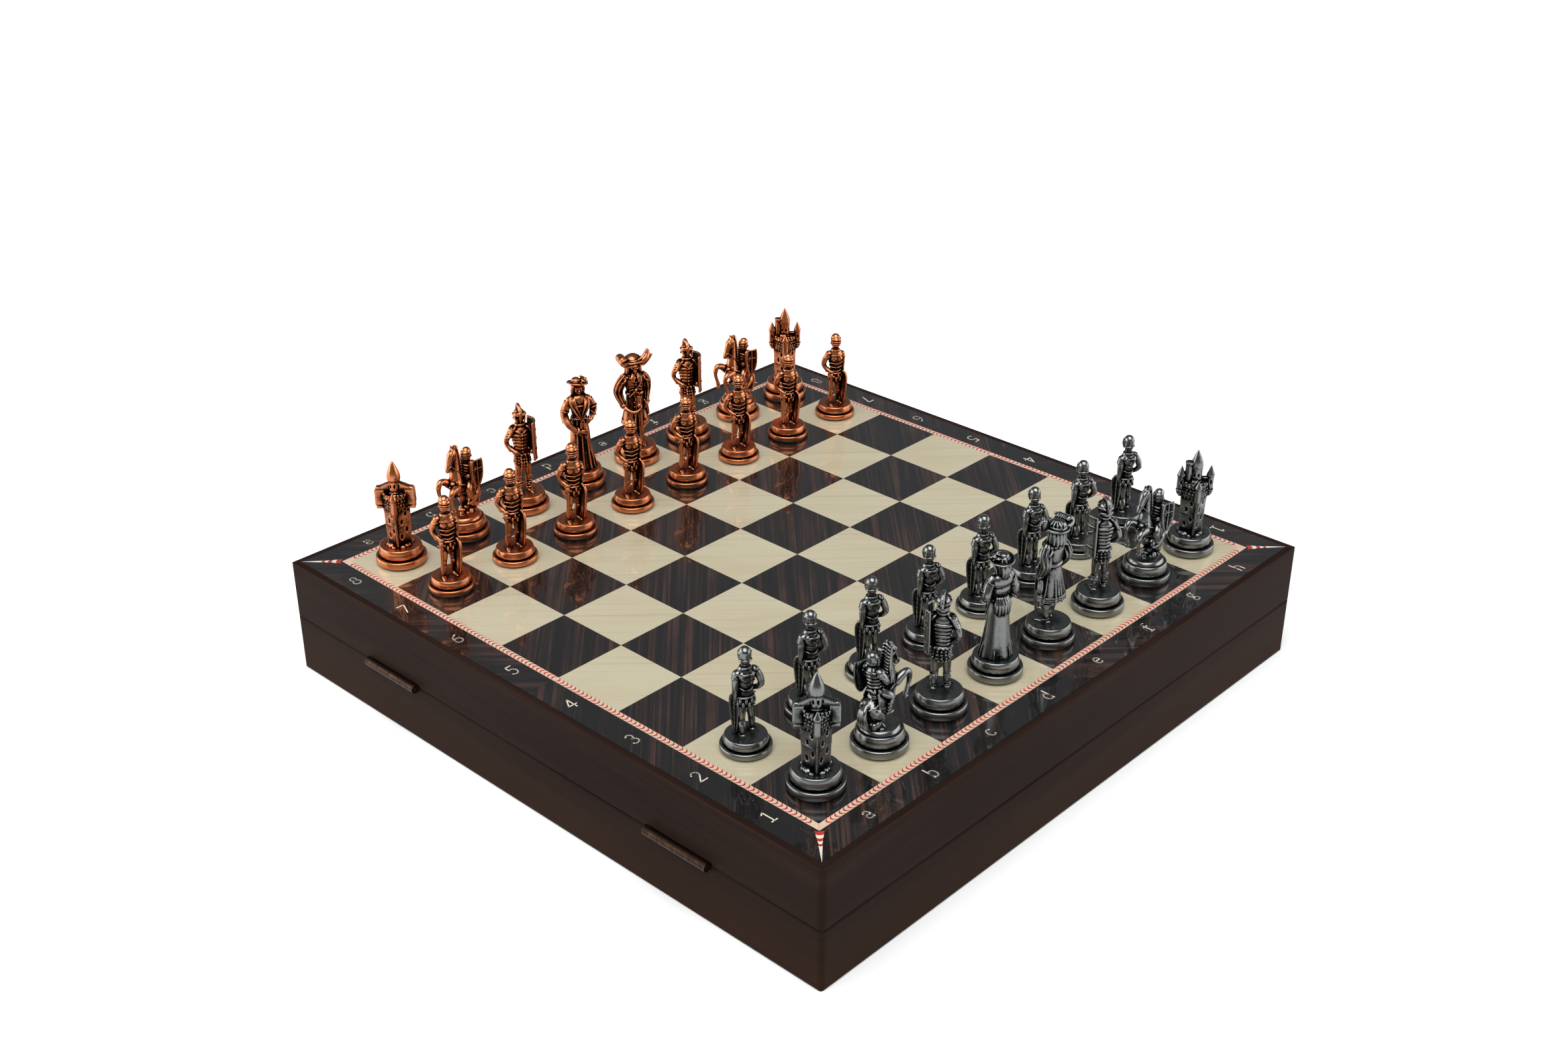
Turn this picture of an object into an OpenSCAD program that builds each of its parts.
// Chess set with a folding board box: a hinged wooden case whose lid is the inlaid
// playing board, a lined tray for the men inside it, and 32 cast metal chessmen.
// X runs along the files a to h, Y along the ranks 1 to 8, Z up, origin under the case.

/* [Case] */
// Outside width and depth of the case
board_w = 341; // [300:1:420]
// Height of the lower half
base_h = 28.8; // [24:0.1:45]
// Height of the upper half, the lid
lid_h = 29.2; // [24:0.1:45]
// Thickness of the four walls of each half
wall_t = 9; // [7:0.5:14]
// Width of the wooden rim left around the board panel
rim_w = 3.6; // [2:0.1:6]
// Rounding of the upright corners
corner_r = 2.6; // [1:0.1:5]
// Rounding of the long edges
edge_r = 1.2; // [0.5:0.1:2.5]
// Thickness of the floor panel
floor_t = 4; // [3:0.5:6]

/* [Board] */
// Width of the dark border between the string and the rim
border_w = 13.7; // [10:0.1:24]
// Strip trimmed off the outermost squares by the inlay
field_trim = 2; // [0:0.1:4]
// Width of the inlaid string around the field
string_w = 3.2; // [2:0.1:5]
// Thickness of the veneer
veneer_t = 0.6; // [0.4:0.1:1.2]
// Glue line between neighbouring veneers
glue_line = 0.06; // [0.04:0.01:0.2]
// Thickness of the panel under the veneer
core_t = 5; // [4:0.5:8]
// Thickness of the cloth lining
lining_t = 1; // [0.5:0.1:2]
// Gap around panels let into a rebate
panel_gap = 0.1; // [0.05:0.05:0.3]

/* [Tray] */
// Width of one slot for a chessman
slot_w = 27; // [25:0.5:34]
// Length of the slots for the back-rank men
officer_slot = 67; // [64:1:80]
// Width of the two troughs for the pawns
pawn_slot = 52; // [50:1:62]
// Height of the rails and dividers
tray_h = 19; // [12:1:22]

/* [Hinges] */
// Distance of each hinge from the middle of its side
hinge_at = 93.5; // [60:0.5:120]
// Length of one knuckle
knuckle_l = 9; // [7:0.5:12]
// Outside radius of the barrel
barrel_r = 2; // [1.6:0.1:3]
// Distance of the pin axis outside the wall face
barrel_out = 1.4; // [1.2:0.1:2.5]
// Radius of the hinge pin
pin_r = 0.8; // [0.6:0.1:1.1]
// Radial play of the pin in the knuckles
pin_play = 0.05; // [0.03:0.01:0.1]
// Thickness of a leaf
leaf_t = 0.9; // [0.7:0.1:1.5]
// Radius of a screw shank
screw_r = 1; // [0.8:0.1:1.4]
// Length of a screw
screw_l = 8; // [6:0.5:12]

/* [Magnets] */
// Radius of the closing magnets
magnet_r = 3; // [2:0.5:3.5]
// Thickness of a closing magnet
magnet_t = 2; // [1.5:0.5:4]
// Distance of each magnet from the middle of the opening side
magnet_at = 70; // [40:1:120]

/* [Chessmen] */
// Base radius of the back-rank men
officer_r = 12; // [11:0.1:12.8]
// Base radius of a pawn
pawn_r = 10.8; // [10:0.1:12.5]
// Height of the back-rank bases
officer_base_h = 9.6; // [8:0.1:11]
// Height of a pawn base
pawn_base_h = 7.4; // [6:0.1:9]
// Height of the king to the crown of the hat
king_h = 61.5; // [58:0.5:63]
// Height of the queen
queen_h = 60.5; // [56:0.5:62]
// Height of the bishop
bishop_h = 56; // [52:0.5:60]
// Height of the knight
knight_h = 48; // [46:0.5:52]
// Height of the rook
rook_h = 52.5; // [50:0.5:56]
// Height of a pawn
pawn_h = 48.5; // [46:0.5:50]
// Turn of the standing silver men from straight ahead
silver_turn = 0; // [-45:1:45]
// Turn of the standing copper men from straight ahead
copper_turn = -26; // [-45:1:45]
// Thickness of the felt pad under a man
pad_t = 0.8; // [0.5:0.1:1.5]

/* [Hidden] */
$fn = 32;
lap_f = 0.45;
half_w = board_w / 2;
seam_z = base_h;
top_z = base_h + lid_h;
inner_half = half_w - wall_t;
panel_half = half_w - rim_w;
ledge_z = top_z - veneer_t - core_t;
string_half = panel_half - border_w;
field_half = string_half - string_w;
square_w = (field_half + field_trim) / 4;
veneer_z = top_z - veneer_t;
floor_half = inner_half + wall_t / 2;
hinge_x = -half_w - barrel_out;
knuckles = 4;
rook_turn = -45;
knight_turn = -90;
hinge_l = knuckles * knuckle_l;
knuckle_gap = 0.15;
leaf_reach = wall_t - 1.5;
screw_pitch = hinge_l / 2;
cut = 1;
tray_z = floor_t + lining_t;
tray_half = inner_half - 0.5;
slot_pitch = 2 * tray_half / 8;
divider_w = slot_pitch - slot_w;
rail_w = (2 * tray_half - 2 * officer_slot - 2 * pawn_slot) / 5;
wood = "#3a241b";
ebony = "#1d1512";
maple = "#e3d3ae";
cream = "#e8c9a4";
cloth = "#1c1c20";
bronze = "#5b4636";
steel = "#9a9a98";
silver = "#8e9090";
copper = "#a4623a";

// ---------------------------------------------------------------- names

// ---------------------------------------------------------------- case
// Rectangle with rounded corners, centred
module soft_rect(w, h, r) {
  square([w - 2 * r, h], center = true);
  square([w, h - 2 * r], center = true);
  for (sx = [-1, 1], sy = [-1, 1])
    translate([sx * (w / 2 - r), sy * (h / 2 - r)]) circle(r);
}

// One half of the case as a solid block with softened edges
module soft_block(z0, h) {
  translate([0, 0, z0]) intersection() {
    linear_extrude(h) soft_rect(board_w, board_w, corner_r);
    translate([0, half_w + cut, h / 2]) rotate([90, 0, 0])
      linear_extrude(board_w + 2 * cut) soft_rect(board_w, h, edge_r);
    translate([-half_w - cut, 0, h / 2]) rotate([90, 0, 90])
      linear_extrude(board_w + 2 * cut) soft_rect(board_w, h, edge_r);
  }
}

// The quarter of the plan that one mitred wall fills; side 0 faces +X, then anticlockwise
module mitre(side, z0, h) {
  far = board_w;
  translate([0, 0, z0 - cut]) rotate(90 * side)
    linear_extrude(h + 2 * cut) polygon([[0, 0], [far, -far], [far, far]]);
}

module block(half, z0, h) {
  translate([-half, -half, z0]) cube([2 * half, 2 * half, h]);
}

module base_wall(side) {
  difference() {
    intersection() {
      soft_block(0, base_h);
      mitre(side, 0, base_h);
    }
    block(inner_half, -cut, base_h + 2 * cut);
    block(floor_half, -cut, floor_t + cut);
  }
}

module lid_wall(side) {
  difference() {
    intersection() {
      soft_block(seam_z, lid_h);
      mitre(side, seam_z, lid_h);
    }
    block(inner_half, seam_z - cut, lid_h + 2 * cut);
    block(panel_half, ledge_z, core_t + veneer_t + cut);
  }
}

// Pocket in the opening side for one magnet of each pair
module magnet_pockets(z0, play) {
  for (s = [-1, 1])
    translate([half_w - wall_t / 2, s * magnet_at, z0]) cylinder(h = magnet_t + play, r = magnet_r + play);
}

// Seat of one leaf and room for the barrel
module leaf_seat(up) {
  z0 = up > 0 ? seam_z : seam_z - leaf_t;
  for (s = [-1, 1]) translate([0, s * hinge_at, 0]) {
    translate([-half_w - cut, -hinge_l / 2 - panel_gap, z0 - (up > 0 ? cut : 0)])
      cube([leaf_reach + cut + panel_gap, hinge_l + 2 * panel_gap, leaf_t + cut]);
    translate([hinge_x, -hinge_l / 2 - cut, seam_z]) rotate([-90, 0, 0])
      cylinder(h = hinge_l + 2 * cut, r = barrel_r + 0.3);
    for (k = [-1, 1]) translate([-half_w + leaf_reach / 2, k * screw_pitch / 2, seam_z])
      mirror([0, 0, up > 0 ? 0 : 1]) cylinder(h = screw_l + panel_gap, r = screw_r + panel_gap);
  }
}

module base_wall_hinge_side() color(wood) difference() {
  base_wall(2);
  leaf_seat(-1);
}
module base_wall_opening_side() color(wood) difference() {
  base_wall(0);
  magnet_pockets(seam_z - magnet_t - panel_gap, panel_gap);
}
module base_wall_front() color(wood) base_wall(3);
module base_wall_back() color(wood) base_wall(1);
module base_floor() color(wood) block(floor_half - panel_gap, 0, floor_t);
module base_lining() color(cloth) block(inner_half - panel_gap, floor_t, lining_t);

module lid_wall_hinge_side() color(wood) difference() {
  lid_wall(2);
  leaf_seat(1);
}
module lid_wall_opening_side() color(wood) difference() {
  lid_wall(0);
  magnet_pockets(seam_z - cut, panel_gap);
  magnet_pockets(seam_z, panel_gap);
}
module lid_wall_front() color(wood) lid_wall(3);
module lid_wall_back() color(wood) lid_wall(1);
module board_core() color(wood) block(panel_half - panel_gap, ledge_z, core_t);
module lid_lining() color(cloth) block(inner_half - panel_gap, ledge_z - lining_t, lining_t);

// ---------------------------------------------------------------- tray
module tray_rails() color(cloth) {
  rows = [officer_slot, pawn_slot, pawn_slot, officer_slot];
  for (i = [0 : 4]) {
    done = i == 0 ? 0 : i == 1 ? rows[0] : i == 2 ? rows[0] + rows[1] : i == 3 ? rows[0] + 2 * rows[1]
      : 2 * rows[0] + 2 * rows[1];
    translate([-tray_half, -tray_half + i * rail_w + done, tray_z]) cube([2 * tray_half, rail_w, tray_h]);
  }
}

function row_start(i) = -tray_half + (i + 1) * rail_w
  + (i == 0 ? 0 : officer_slot) + (i > 1 ? pawn_slot : 0) + (i > 2 ? pawn_slot : 0);
function row_len(i) = i == 0 || i == 3 ? officer_slot : pawn_slot;

// The two outer rows are divided into slots; the pawns of each army share a trough
module tray_dividers() color(cloth)
  for (i = [0, 3], k = [0 : 8]) {
    w = k == 0 || k == 8 ? divider_w / 2 : divider_w;
    x = k == 0 ? -tray_half : -tray_half + k * slot_pitch - divider_w / 2;
    translate([x, row_start(i) + glue_line, tray_z]) cube([w, row_len(i) - 2 * glue_line, tray_h]);
  }

// ---------------------------------------------------------------- board
module squares(parity) {
  for (f = [0 : 7], r = [0 : 7]) if ((f + r) % 2 == parity) {
    x0 = max((f - 4) * square_w, -field_half) + glue_line / 2;
    x1 = min((f - 3) * square_w, field_half) - glue_line / 2;
    y0 = max((r - 4) * square_w, -field_half) + glue_line / 2;
    y1 = min((r - 3) * square_w, field_half) - glue_line / 2;
    translate([x0, y0, veneer_z]) cube([x1 - x0, y1 - y0, veneer_t]);
  }
}

module mitred_strips(inside, outside) {
  i = inside + glue_line / 2;
  o = outside - glue_line / 2;
  m = glue_line;
  for (side = [0 : 3]) translate([0, 0, veneer_z]) rotate(90 * side)
    linear_extrude(veneer_t) polygon([[i, m - i], [o, m - o], [o, o - m], [i, i - m]]);
}

module dark_squares() color(ebony) squares(0);
module light_squares() color(maple) squares(1);
module inlay_string() color(cream) mitred_strips(field_half, string_half);
module border_veneer() color(ebony) mitred_strips(string_half, panel_half - panel_gap);

// ---------------------------------------------------------------- hinges
// One leaf with its two knuckles; the lid leaf is the base leaf turned end for end
module leaf(first, up) {
  z0 = up > 0 ? seam_z : seam_z - leaf_t;
  difference() {
    union() {
      translate([hinge_x + barrel_r / 2, -hinge_l / 2, z0])
        cube([leaf_reach + barrel_out - barrel_r / 2, hinge_l, leaf_t]);
      for (k = [first : 2 : knuckles - 1])
        translate([hinge_x, -hinge_l / 2 + k * knuckle_l + knuckle_gap / 2, seam_z]) rotate([-90, 0, 0])
          cylinder(h = knuckle_l - knuckle_gap, r = barrel_r);
    }
    for (k = [1 - first : 2 : knuckles - 1])
      translate([hinge_x, -hinge_l / 2 + k * knuckle_l - knuckle_gap / 2, seam_z]) rotate([-90, 0, 0])
        cylinder(h = knuckle_l + knuckle_gap, r = barrel_r + 0.3);
    translate([hinge_x, -hinge_l / 2 - cut, seam_z]) rotate([-90, 0, 0])
      cylinder(h = hinge_l + 2 * cut, r = pin_r + pin_play);
    for (k = [-1, 1]) translate([-half_w + leaf_reach / 2, k * screw_pitch / 2, seam_z])
      mirror([0, 0, up > 0 ? 0 : 1]) {
        translate([0, 0, -cut]) cylinder(h = screw_l, r = screw_r + panel_gap / 2);
        cylinder(h = leaf_t, r1 = 2 * screw_r, r2 = screw_r);
      }
  }
}

module screws(up) {
  for (s = [-1, 1], k = [-1, 1])
    translate([-half_w + leaf_reach / 2, s * hinge_at + k * screw_pitch / 2, seam_z])
      mirror([0, 0, up > 0 ? 0 : 1]) translate([0, 0, 0.1]) {
        cylinder(h = leaf_t - 0.1, r1 = 2 * screw_r - 0.15, r2 = screw_r);
        cylinder(h = screw_l - 0.1, r = screw_r);
      }
}

module pin(s) {
  translate([hinge_x, s * hinge_at - hinge_l / 2 + knuckle_gap, seam_z]) rotate([-90, 0, 0])
    cylinder(h = hinge_l - 2 * knuckle_gap, r = pin_r);
}

module hinge_front_base_leaf() color(bronze) translate([0, -hinge_at, 0]) leaf(1, -1);
module hinge_front_lid_leaf() color(bronze) translate([0, -hinge_at, 0]) leaf(0, 1);
module hinge_front_pin() color(bronze) pin(-1);
module hinge_back_base_leaf() color(bronze) translate([0, hinge_at, 0]) leaf(1, -1);
module hinge_back_lid_leaf() color(bronze) translate([0, hinge_at, 0]) leaf(0, 1);
module hinge_back_pin() color(bronze) pin(1);
module base_hinge_screws() color(bronze) screws(-1);
module lid_hinge_screws() color(bronze) screws(1);
module base_magnets() color(steel) magnet_pockets(seam_z - magnet_t, 0);
module lid_magnets() color(steel) magnet_pockets(seam_z, 0);

// ---------------------------------------------------------------- chessmen: shared forms
// Limbs are tapered bones that run a little past each joint
module bone(a, b, ra, rb) {
  d = b - a;
  l = norm(d);
  over = lap_f * (ra + rb) / 2;
  translate(a) rotate([0, acos(d[2] / l), atan2(d[1], d[0])]) translate([0, 0, -over])
    cylinder(h = l + 2 * over, r1 = ra, r2 = rb);
}

module ball(p, r) translate(p) sphere(r);

// A limb through a list of [x, y, z, radius] joints
module limb(j) {
  for (i = [0 : len(j) - 2])
    bone([j[i][0], j[i][1], j[i][2]], [j[i + 1][0], j[i + 1][1], j[i + 1][2]], j[i][3], j[i + 1][3]);
}

// Turned foot of a man: felt pad, wide ring, groove and tapered upper tier
module foot(r, h) {
  ring_h = 0.46 * h;
  soft = 0.07 * r;
  tier_r = 0.87 * r;
  rotate_extrude() polygon([
    [0, 0], [r - 2 * soft, 0], [r - 2 * soft, pad_t], [r - soft, pad_t], [r, pad_t + soft],
    [r, ring_h - soft], [r - soft, ring_h], [tier_r - soft, ring_h], [tier_r - soft, ring_h + soft / 2],
    [tier_r, ring_h + soft / 2], [tier_r - soft, h - soft / 2], [tier_r - 1.5 * soft, h], [0, h]]);
}

// Joint lists are written as shares of the standing height, so a figure keeps its build at any size
function sized(b, joints) = [for (q = joints) q * b];

// Heights of the body's landmarks and the half-widths at them, as shares of the standing height
ankle = 0.035;
knee = 0.18;
crotch = 0.33;
belt = 0.45;
waist = 0.54;
chest = 0.66;
shoulder = 0.715;
chin = 0.80;
hip_x = 0.040;
chest_x = 0.055;
shoulder_x = 0.105;
thigh_r = 0.042;
calf_r = 0.033;
ankle_r = 0.027;
arm_r = 0.038;
wrist_r = 0.027;
head_r = 0.060;

module leg(b, side, step) {
  limb(sized(b, [[side * hip_x, 0, crotch + thigh_r, thigh_r],
    [side * (hip_x + 0.004), -step / 2, knee, calf_r],
    [side * (hip_x + 0.008), -step, ankle, ankle_r]]));
  limb(sized(b, [[side * (hip_x + 0.008), 0.012 - step, ankle_r - 0.006, ankle_r],
    [side * (hip_x + 0.022), -step - 0.065, ankle_r - 0.008, ankle_r - 0.006]]));
}

// Trunk of two tapered columns over a rounded hip
module trunk(b, hip_r, chest_r) {
  limb(sized(b, [[-hip_x, 0, belt, hip_r], [-chest_x, 0, chest, chest_r]]));
  limb(sized(b, [[hip_x, 0, belt, hip_r], [chest_x, 0, chest, chest_r]]));
  bone([0, 0, crotch * b], [0, 0, chin * b], hip_r * b, wrist_r * b);
  bone([-hip_x * b, 0, belt * b], [hip_x * b, 0, belt * b], (hip_r + 0.004) * b, (hip_r + 0.004) * b);
  bone([-shoulder_x * b, 0, shoulder * b], [shoulder_x * b, 0, shoulder * b], arm_r * b, arm_r * b);
}

module head(b) {
  ball([0, -0.006 * b, 0.865 * b], head_r * b);
  bone([0, 0, shoulder * b], [0, 0, 0.86 * b], 0.042 * b, 0.036 * b);
}

// Arm with the hand on the hip, and one hanging down
module arm_akimbo(b, side, r) limb(sized(b, [[side * shoulder_x, 0, shoulder, r],
  [side * 0.178, 0.03, 0.565, r - 0.004], [side * 0.085, -0.045, 0.495, wrist_r]]));
module arm_down(b, side, r) limb(sized(b, [[side * shoulder_x, 0, shoulder, r],
  [side * 0.128, 0.012, 0.575, r - 0.005], [side * 0.118, -0.035, 0.455, wrist_r]]));

// Pawn: foot soldier in a closed helmet, a long shield standing at the left leg
module pawn_form() {
  b = pawn_h - pawn_base_h;
  foot(pawn_r, pawn_base_h);
  translate([0, 0, pawn_base_h - 0.02 * b]) {
    leg(b, -1, 0.05);
    leg(b, 1, 0);
    trunk(b, 0.058, 0.062);
    arm_akimbo(b, -1, arm_r + 0.004);
    arm_down(b, 1, arm_r);
    bone([0, 0, shoulder * b], [0, 0, chin * b], 0.045 * b, 0.04 * b);
    translate([0, 0, (chin - 0.005) * b]) cylinder(h = 0.155 * b, r1 = 0.05 * b, r2 = 0.0585 * b);
    ball([0, 0, 0.948 * b], 0.0605 * b);
    ball([0, -0.014 * b, 0.87 * b], 0.056 * b);
    for (k = [0 : 2])
      translate([0, -0.012 * b, (0.85 + 0.027 * k) * b]) cylinder(h = 0.015 * b, r = 0.0635 * b);
    long_shield(b);
  }
}

// Long shield of the foot soldier: rounded top, narrowing to a foot
module long_shield(b) {
  w = 0.075 * b;
  t = 0.032 * b;
  translate([0.118 * b, 0.01 * b, 0.02 * b]) rotate([90, 0, 68]) translate([0, 0, -t / 2])
    linear_extrude(t) {
      polygon([[-0.5 * w, 0], [0.5 * w, 0], [w, 0.3 * b], [w, 0.4 * b], [-w, 0.4 * b], [-w, 0.3 * b]]);
      translate([0, 0.4 * b]) circle(w);
    }
}

// Bishop: legionary with a crested helmet, kilt and tall curved shield
module bishop_form() {
  b = bishop_h - officer_base_h;
  foot(officer_r, officer_base_h);
  translate([0, 0, officer_base_h - 0.02 * b]) {
    leg(b, -1, 0.045);
    leg(b, 1, 0);
    trunk(b, 0.056, 0.066);
    arm_akimbo(b, -1, arm_r + 0.002);
    arm_down(b, 1, arm_r);
    head(b);
    for (s = [-1, 1]) bone([s * 0.02 * b, 0.004 * b, 0.43 * b], [s * 0.036 * b, 0.002 * b, 0.33 * b],
      0.062 * b, 0.074 * b);
    ball([0, 0.004 * b, 0.885 * b], 0.062 * b);
    translate([-0.019 * b, 0.022 * b, 0.915 * b]) rotate([0, 90, 0]) cylinder(h = 0.038 * b, r = 0.087 * b);
    curved_shield(b);
  }
}

module curved_shield(b) {
  r = 0.15 * b;
  translate([0.01 * b, -0.02 * b, 0.41 * b]) intersection() {
    difference() {
      cylinder(h = 0.43 * b, r = r + 0.028 * b);
      translate([0, 0, -cut]) cylinder(h = 0.43 * b + 2 * cut, r = r);
    }
    translate([0, -0.105 * b, -cut]) cube([b, 0.21 * b, b]);
  }
}

// Queen: long gown, shawl, one hand at the waist, wide hat with flowers
module queen_form() {
  b = queen_h - officer_base_h;
  foot(officer_r, officer_base_h);
  translate([0, 0, officer_base_h - 0.02 * b]) {
    rotate_extrude() polygon([[0, 0], [0.148 * b, 0], [0.146 * b, 0.03 * b], [0.118 * b, 0.18 * b],
      [0.1 * b, 0.32 * b], [0.094 * b, 0.43 * b], [0.068 * b, waist * b], [0, 0.57 * b]]);
    limb(sized(b, [[-0.022, 0, waist, 0.052], [-chest_x, 0, 0.68, 0.062]]));
    limb(sized(b, [[0.022, 0, waist, 0.052], [chest_x, 0, 0.68, 0.062]]));
    limb(sized(b, [[-shoulder_x, 0, 0.725, 0.046], [-0.18, 0.01, 0.565, 0.043],
      [0.03, -0.095, 0.44, 0.024]]));
    limb(sized(b, [[shoulder_x, 0, 0.725, 0.046], [0.185, 0.025, 0.61, 0.041],
      [0.085, -0.045, 0.53, 0.026]]));
    bone([-shoulder_x * b, 0, 0.73 * b], [shoulder_x * b, 0, 0.73 * b], 0.045 * b, 0.045 * b);
    head(b);
    limb(sized(b, [[0, 0.022, 0.87, 0.062], [0, 0.035, 0.77, 0.055]]));
    translate([0, 0.008 * b, 0.912 * b]) rotate([-6, 0, 0]) {
      cylinder(h = 0.016 * b, r = 0.108 * b);
      cylinder(h = 0.082 * b, r1 = 0.064 * b, r2 = 0.05 * b);
    }
    limb(sized(b, [[0.045, -0.035, 0.955, 0.024], [0.078, -0.01, 0.97, 0.026]]));
  }
}

// King: cavalier with a plumed hat, puffed sleeves, flared coat, boots and sword
module king_form() {
  b = king_h - officer_base_h;
  foot(officer_r, officer_base_h);
  translate([0, 0, officer_base_h - 0.02 * b]) {
    leg(b, -1, 0.05);
    leg(b, 1, 0);
    trunk(b, 0.062, 0.074);
    translate([0, 0, 0.235 * b]) cylinder(h = 0.3 * b, r1 = 0.136 * b, r2 = 0.084 * b);
    limb(sized(b, [[-shoulder_x - 0.012, 0, 0.71, 0.056], [-0.178, 0.02, 0.575, 0.05],
      [-0.125, -0.06, 0.455, 0.03]]));
    limb(sized(b, [[shoulder_x + 0.012, 0, 0.71, 0.056], [0.178, 0.03, 0.595, 0.05],
      [0.118, -0.03, 0.49, 0.03]]));
    head(b);
    limb(sized(b, [[0, 0.024, 0.88, 0.07], [0, 0.034, 0.775, 0.07]]));
    ball([0, 0.01 * b, 0.925 * b], 0.074 * b);
    translate([0, 0.006 * b, 0.905 * b]) cylinder(h = 0.022 * b, r1 = 0.118 * b, r2 = 0.128 * b);
    limb(sized(b, [[-0.09, 0.01, 0.93, 0.034], [-0.14, 0.0, 0.925, 0.034], [-0.15, 0.0, 0.96, 0.022]]));
    limb(sized(b, [[0.085, 0.01, 0.94, 0.03], [0.125, 0.01, 0.985, 0.032], [0.155, 0.01, 1.02, 0.028]]));
    limb(sized(b, [[-0.12, -0.085, 0.465, 0.022], [-0.06, -0.142, 0.44, 0.02], [0.004, -0.13, 0.47, 0.024]]));
    limb(sized(b, [[0.01, -0.115, 0.52, 0.028], [0.015, -0.14, 0.24, 0.024], [0.02, -0.13, 0.05, 0.02]]));
  }
}

// Rook: square castle tower with engaged corner turrets and a tall spired keep
module turret(x, y, z0, z1, z2, r) translate([x, y, z0]) {
  cylinder(h = z1 - z0, r = r);
  translate([0, 0, z1 - z0]) cylinder(h = z2 - z1, r1 = 1.12 * r, r2 = 0.15 * r);
}

// Four-sided tower with arrow slits, a gallery on a flared course, and merlons
module tower(b, z0, low_r, high_r, gallery_r) {
  face = gallery_r / sqrt(2);
  slit_w = 0.018 * b;
  slit_h = 0.05 * b;
  slit_deep = 0.03 * b;
  difference() {
    translate([0, 0, z0]) cylinder(h = 0.48 * b - z0, r1 = low_r, r2 = high_r, $fn = 4);
    for (side = [0 : 3], p = [[-0.035, 0.09], [0.04, 0.15], [-0.012, 0.27], [0.042, 0.34]])
      rotate(45 + 90 * side) translate([low_r / sqrt(2) - slit_deep, p[0] * b - slit_w / 2, p[1] * b])
        cube([2 * slit_deep, slit_w, slit_h]);
  }
  translate([0, 0, 0.44 * b]) cylinder(h = 0.05 * b, r1 = high_r, r2 = gallery_r, $fn = 4);
  translate([0, 0, 0.485 * b]) cylinder(h = 0.115 * b, r = gallery_r, $fn = 4);
  for (side = [0 : 3], k = [-1.5 : 1.5])
    rotate(45 + 90 * side) translate([face - 0.03 * b, (0.052 * k - 0.013) * b, 0.59 * b])
      cube([0.026 * b, 0.026 * b, 0.046 * b]);
}

module rook_form(spired) {
  b = rook_h - officer_base_h;
  z0 = -0.02 * b;
  low_r = 0.128 * b;
  high_r = 0.147 * b;
  gallery_r = 0.172 * b;
  side_x = 0.163 * b;
  foot(officer_r, officer_base_h);
  translate([0, 0, officer_base_h]) {
    tower(b, z0, low_r, high_r, gallery_r);
    translate([0, 0, 0.58 * b]) cylinder(h = 0.23 * b, r = 0.066 * b);
    translate([0, 0, 0.8 * b]) rotate_extrude() polygon([[0, 0], [0.068 * b, 0], [0.073 * b, 0.03 * b],
      [0.052 * b, 0.1 * b], [0.006 * b, 0.2 * b], [0, 0.2 * b]]);
    for (s = [-1, 1]) {
      turret(0, s * 0.142 * b, z0, 0.6 * b, 0.7 * b, 0.038 * b);
      if (spired) {
        turret(s * side_x, 0, 0.46 * b, 0.68 * b, 0.81 * b, 0.042 * b);
        translate([s * side_x / 2, 0, 0.62 * b]) cube([side_x, 0.05 * b, 0.14 * b], center = true);
      } else {
        translate([s * side_x, 0, 0.45 * b]) {
          cylinder(h = 0.05 * b, r1 = 0.035 * b, r2 = 0.056 * b);
          translate([0, 0, 0.05 * b]) cylinder(h = 0.19 * b, r = 0.056 * b);
          translate([0, 0, 0.24 * b]) cylinder(h = 0.035 * b, r1 = 0.056 * b, r2 = 0.034 * b);
        }
        translate([s * side_x / 2, 0, 0.62 * b]) cube([side_x, 0.07 * b, 0.17 * b], center = true);
      }
    }
    if (spired) translate([-0.078 * b, 0, 0.55 * b]) cylinder(h = 0.31 * b, r = 0.046 * b);
  }
}

// Knight: rearing horse on a third step, its right foreleg higher, and a rider who leans to
// the left and bears a heater shield on that arm
module knight_form() {
  step_h = 0.2 * officer_base_h;
  b = knight_h - officer_base_h;
  foot(officer_r, officer_base_h);
  translate([0, 0, officer_base_h - pad_t])
    cylinder(h = step_h + pad_t, r1 = 0.72 * officer_r, r2 = 0.64 * officer_r);
  translate([0, 0, officer_base_h]) {
    horse(b);
    rider(b);
  }
}

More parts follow.
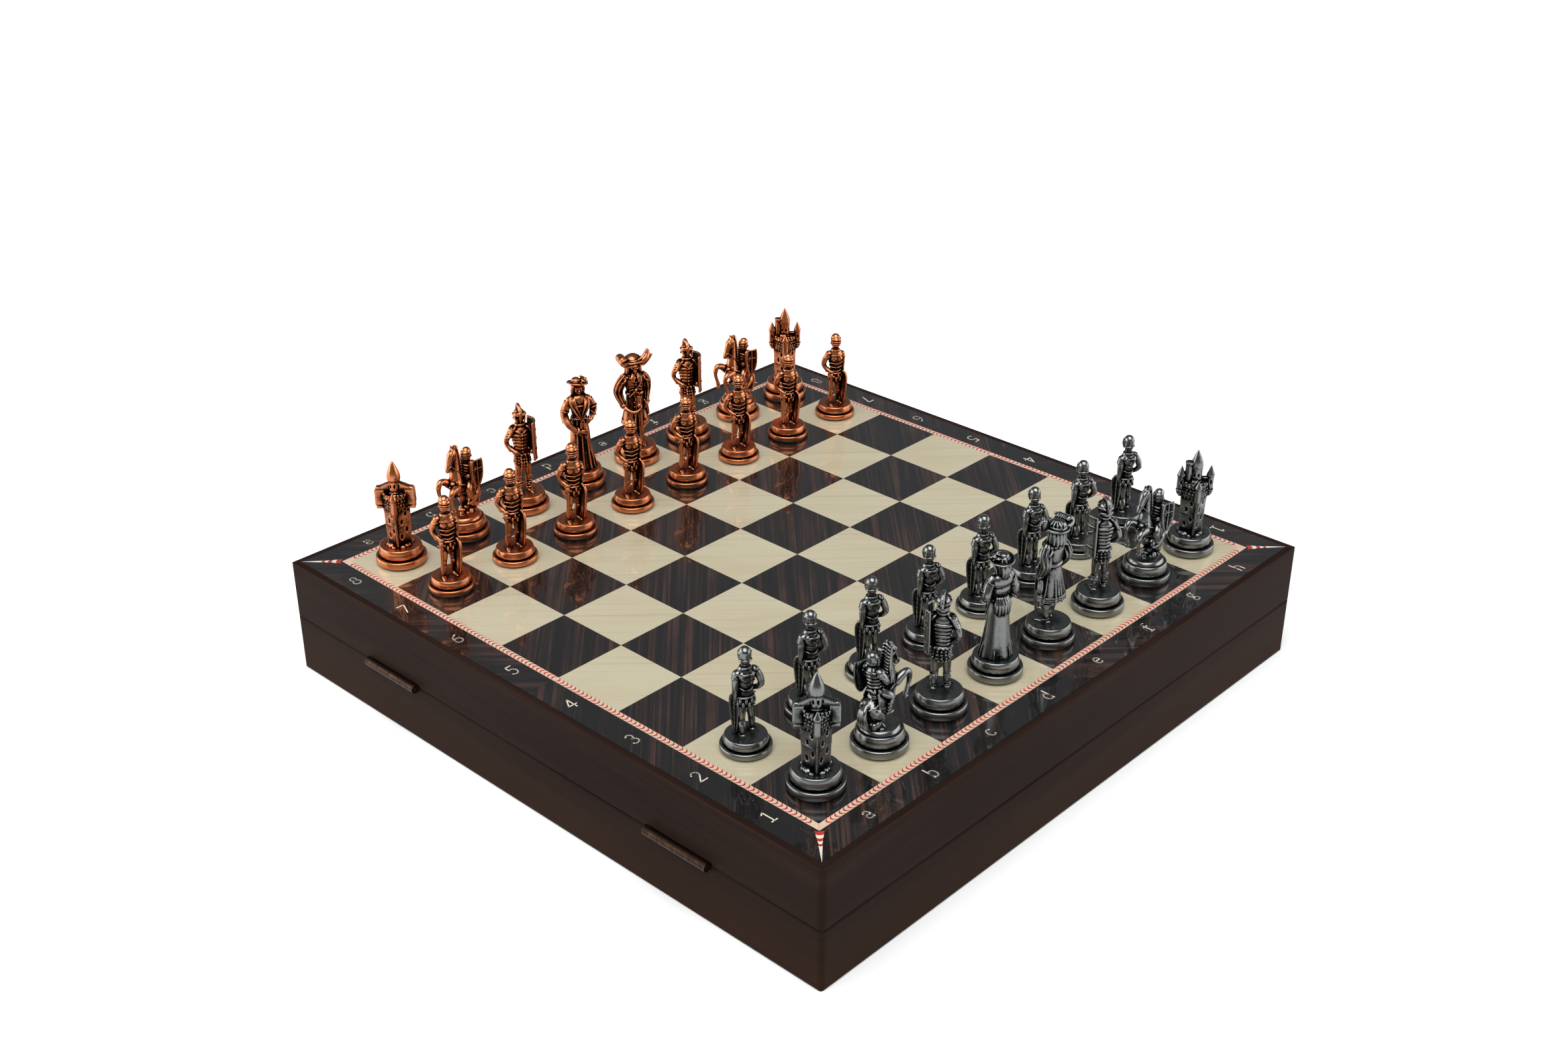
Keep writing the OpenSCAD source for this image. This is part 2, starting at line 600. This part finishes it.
module horse(b) {
  for (s = [-1, 1]) {
    up = s < 0 ? 0.09 : 0;
    limb(sized(b, [[s * 0.055, 0.15, 0.27, 0.074], [s * 0.075, 0.085, 0.18, 0.046],
      [s * 0.08, 0.13, 0.115, 0.032], [s * 0.078, 0.065, 0.05, 0.034]]));
    limb(sized(b, [[s * 0.055, -0.16, 0.48, 0.058], [s * 0.084, -0.3, 0.48 + up, 0.039],
      [s * 0.085, -0.335, 0.36 + up, 0.028], [s * 0.079, -0.285, 0.205 + up, 0.032]]));
    bone([(s * 0.022 - 0.02) * b, -0.08 * b, 0.94 * b], [(s * 0.03 - 0.02) * b, -0.082 * b, 1.0 * b],
      0.022 * b, 0.008 * b);
  }
  limb(sized(b, [[0, 0.17, 0.3, 0.095], [0, 0.01, 0.385, 0.09], [0, -0.15, 0.5, 0.088],
    [-0.012, -0.085, 0.7, 0.062], [-0.02, -0.075, 0.89, 0.054]]));
  limb(sized(b, [[-0.02, -0.085, 0.93, 0.05], [-0.024, -0.155, 0.85, 0.047], [-0.028, -0.21, 0.72, 0.034]]));
  limb(sized(b, [[-0.02, -0.04, 0.95, 0.03], [-0.01, -0.02, 0.78, 0.036], [0, 0.01, 0.6, 0.03]]));
  limb(sized(b, [[0, 0.235, 0.33, 0.035], [0, 0.29, 0.26, 0.045], [0, 0.25, 0.12, 0.04],
    [0, 0.14, 0.04, 0.03]]));
}

module rider(b) {
  limb(sized(b, [[0, 0.085, 0.46, 0.076], [0.028, 0.094, 0.71, 0.08]]));
  bone([-0.066 * b, 0.095 * b, 0.735 * b], [0.122 * b, 0.095 * b, 0.735 * b], 0.043 * b, 0.043 * b);
  limb(sized(b, [[-0.066, 0.095, 0.72, 0.042], [-0.106, 0.05, 0.61, 0.036], [-0.04, -0.035, 0.577, 0.027]]));
  limb(sized(b, [[0.122, 0.095, 0.72, 0.042], [0.138, 0.07, 0.61, 0.036], [0.095, 0.01, 0.57, 0.028]]));
  for (s = [-1, 1]) {
    limb(sized(b, [[s * 0.05, 0.08, 0.47, 0.052], [s * 0.126, -0.018, 0.4, 0.04],
      [s * 0.124, 0.022, 0.24, 0.028]]));
    bone([s * 0.124 * b, 0.034 * b, 0.23 * b], [s * 0.127 * b, -0.05 * b, 0.222 * b], 0.026 * b, 0.018 * b);
  }
  bone([0.034 * b, 0.095 * b, 0.72 * b], [0.042 * b, 0.096 * b, 0.83 * b], 0.045 * b, 0.05 * b);
  ball([0.042 * b, 0.096 * b, 0.872 * b], 0.066 * b);
  for (k = [0 : 1])
    translate([0.04 * b, 0.086 * b, (0.80 + 0.034 * k) * b]) cylinder(h = 0.018 * b, r = 0.064 * b);
  heater_shield(b);
}

module heater_shield(b) {
  t = 0.028 * b;
  edge = [[0.012, 0], [0.05, 0.045], [0.078, 0.115], [0.09, 0.195], [0.092, 0.295], [0.08, 0.365]];
  other = [for (k = [len(edge) - 1 : -1 : 0]) [-edge[k][0], edge[k][1]]];
  translate([0.155 * b, 0.112 * b, 0.405 * b]) rotate([90, 0, 75])
    linear_extrude(t) polygon(b * concat(edge, other));
}

// ---------------------------------------------------------------- chessmen: where they stand
module stand(file, rank, turn) {
  translate([(file - 4.5) * square_w, (rank - 4.5) * square_w, top_z]) rotate(turn) children();
}

module silver_rook_a1() color(silver) stand(1, 1, rook_turn) rook_form(false);
module silver_knight_b1() color(silver) stand(2, 1, -knight_turn) knight_form();
module silver_bishop_c1() color(silver) stand(3, 1, 180 + silver_turn) bishop_form();
module silver_queen_d1() color(silver) stand(4, 1, 180 + silver_turn) queen_form();
module silver_king_e1() color(silver) stand(5, 1, 180 + silver_turn) king_form();
module silver_bishop_f1() color(silver) stand(6, 1, 180 + silver_turn) bishop_form();
module silver_knight_g1() color(silver) stand(7, 1, knight_turn) knight_form();
module silver_rook_h1() color(silver) stand(8, 1, rook_turn) rook_form(true);
module silver_pawn_a2() color(silver) stand(1, 2, 180 + silver_turn) pawn_form();
module silver_pawn_b2() color(silver) stand(2, 2, 180 + silver_turn) pawn_form();
module silver_pawn_c2() color(silver) stand(3, 2, 180 + silver_turn) pawn_form();
module silver_pawn_d2() color(silver) stand(4, 2, 180 + silver_turn) pawn_form();
module silver_pawn_e2() color(silver) stand(5, 2, 180 + silver_turn) pawn_form();
module silver_pawn_f2() color(silver) stand(6, 2, 180 + silver_turn) pawn_form();
module silver_pawn_g2() color(silver) stand(7, 2, 180 + silver_turn) pawn_form();
module silver_pawn_h2() color(silver) stand(8, 2, 180 + silver_turn) pawn_form();
module copper_rook_a8() color(copper) stand(1, 8, rook_turn) rook_form(false);
module copper_knight_b8() color(copper) stand(2, 8, knight_turn) knight_form();
module copper_bishop_c8() color(copper) stand(3, 8, copper_turn) bishop_form();
module copper_queen_d8() color(copper) stand(4, 8, copper_turn) queen_form();
module copper_king_e8() color(copper) stand(5, 8, copper_turn) king_form();
module copper_bishop_f8() color(copper) stand(6, 8, copper_turn) bishop_form();
module copper_knight_g8() color(copper) stand(7, 8, knight_turn) knight_form();
module copper_rook_h8() color(copper) stand(8, 8, rook_turn) rook_form(true);
module copper_pawn_a7() color(copper) stand(1, 7, copper_turn) pawn_form();
module copper_pawn_b7() color(copper) stand(2, 7, copper_turn) pawn_form();
module copper_pawn_c7() color(copper) stand(3, 7, copper_turn) pawn_form();
module copper_pawn_d7() color(copper) stand(4, 7, copper_turn) pawn_form();
module copper_pawn_e7() color(copper) stand(5, 7, copper_turn) pawn_form();
module copper_pawn_f7() color(copper) stand(6, 7, copper_turn) pawn_form();
module copper_pawn_g7() color(copper) stand(7, 7, copper_turn) pawn_form();
module copper_pawn_h7() color(copper) stand(8, 7, copper_turn) pawn_form();

// ---------------------------------------------------------------- show
base_wall_hinge_side();
base_wall_opening_side();
base_wall_front();
base_wall_back();
base_floor();
base_lining();
tray_rails();
tray_dividers();
hinge_front_base_leaf();
hinge_back_base_leaf();
hinge_front_pin();
hinge_back_pin();
base_hinge_screws();
base_magnets();
lid_wall_hinge_side();
lid_wall_opening_side();
lid_wall_front();
lid_wall_back();
board_core();
lid_lining();
dark_squares();
light_squares();
inlay_string();
border_veneer();
hinge_front_lid_leaf();
hinge_back_lid_leaf();
lid_hinge_screws();
lid_magnets();
silver_rook_a1();
silver_knight_b1();
silver_bishop_c1();
silver_queen_d1();
silver_king_e1();
silver_bishop_f1();
silver_knight_g1();
silver_rook_h1();
silver_pawn_a2();
silver_pawn_b2();
silver_pawn_c2();
silver_pawn_d2();
silver_pawn_e2();
silver_pawn_f2();
silver_pawn_g2();
silver_pawn_h2();
copper_rook_a8();
copper_knight_b8();
copper_bishop_c8();
copper_queen_d8();
copper_king_e8();
copper_bishop_f8();
copper_knight_g8();
copper_rook_h8();
copper_pawn_a7();
copper_pawn_b7();
copper_pawn_c7();
copper_pawn_d7();
copper_pawn_e7();
copper_pawn_f7();
copper_pawn_g7();
copper_pawn_h7();
